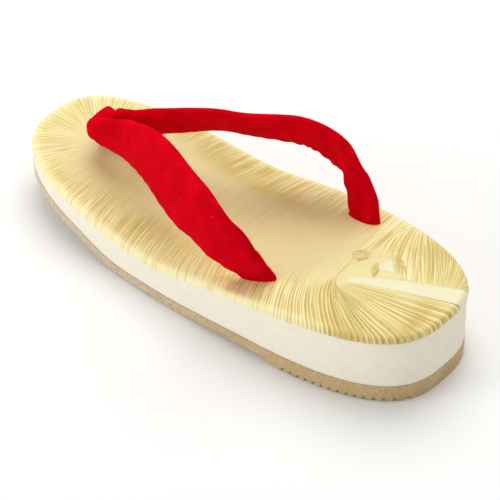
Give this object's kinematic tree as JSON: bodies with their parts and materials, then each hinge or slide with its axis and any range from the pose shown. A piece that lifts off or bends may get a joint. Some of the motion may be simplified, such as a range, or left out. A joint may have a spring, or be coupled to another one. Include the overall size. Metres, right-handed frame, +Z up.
{
  "type": "tatami sandal",
  "caption": "Tatami sandal for either foot: a woven straw top board on a white sponge wedge, a ribbed tan rubber outsole with a heel block, and padded red velvet straps.",
  "frame": {"origin": "on the floor, below the middle of the sole's outline", "axes": "+Y from heel to toe along the sole's middle, +X to the sandal's right, +Z up"},
  "size_m": [0.0862, 0.24, 0.0761],
  "materials": {
    "rubber": "matt tan rubber with moulded cross ribs",
    "sponge": "matt off-white sponge with fine open cells",
    "straw": "satin pale gold straw, plaited in fine strips",
    "velvet": "soft red velvet over padding, with a nap"
  },
  "bodies": {
    "root": {"outsole": "rubber", "midsole": "sponge", "cover": "straw", "strap": "velvet", "toe_loop": "velvet"}
  },
  "joints": []
}
